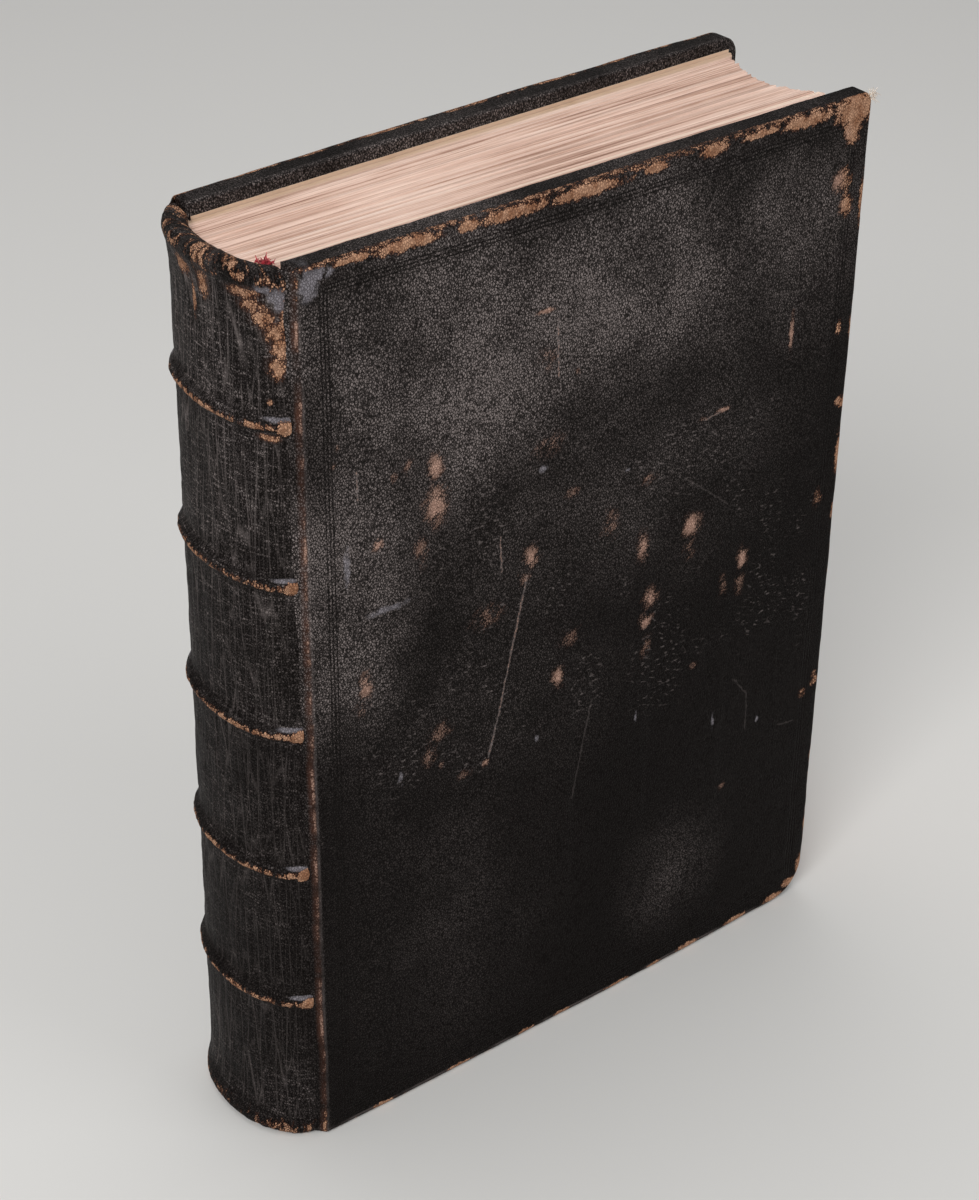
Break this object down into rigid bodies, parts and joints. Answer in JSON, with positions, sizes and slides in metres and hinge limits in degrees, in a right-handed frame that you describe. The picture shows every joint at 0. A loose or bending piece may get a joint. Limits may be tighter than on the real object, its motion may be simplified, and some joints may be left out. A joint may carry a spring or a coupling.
{
  "type": "antique leather book",
  "caption": "Thick folio bound in full black goatskin, with a rounded spine, raised bands, turned caps and covers that open on their joints.",
  "frame": {"origin": "middle of the footprint, on the surface that the tail edges stand on", "axes": "+Z from tail to head, +X from spine to fore-edge, and -Y out of the front cover"},
  "size_m": [0.2277, 0.0701, 0.305],
  "materials": {
    "leaves": "matt laid paper, toned at the edges",
    "goatskin": "black grained goatskin, rubbed to tan at bands, caps, joints and edges",
    "pasteboard": "dense layered board of pasted sheets",
    "endpaper": "plain matt paper",
    "hemp": "twisted cord",
    "silk": "sewn thread"
  },
  "bodies": {
    "root": {"text_block": "leaves", "spine_leather": "goatskin", "sewing_cord_1": "hemp", "sewing_cord_2": "hemp", "sewing_cord_3": "hemp", "sewing_cord_4": "hemp", "sewing_cord_5": "hemp", "head_endband": "silk", "tail_endband": "silk"},
    "front_cover": {"front_board": "pasteboard", "front_cover_leather": "goatskin", "front_pastedown": "endpaper"},
    "back_cover": {"back_board": "pasteboard", "back_cover_leather": "goatskin", "back_pastedown": "endpaper"}
  },
  "joints": [
    {"name": "front_joint", "type": "hinge", "parent": "root", "child": "front_cover", "pos_m": [-0.0942, -0.03386, 0.1525], "axis": [0, 0, -1], "range_deg": [0, 170]},
    {"name": "back_joint", "type": "hinge", "parent": "root", "child": "back_cover", "pos_m": [-0.0942, 0.02754, 0.1525], "axis": [0, 0, 1], "range_deg": [0, 170]}
  ]
}
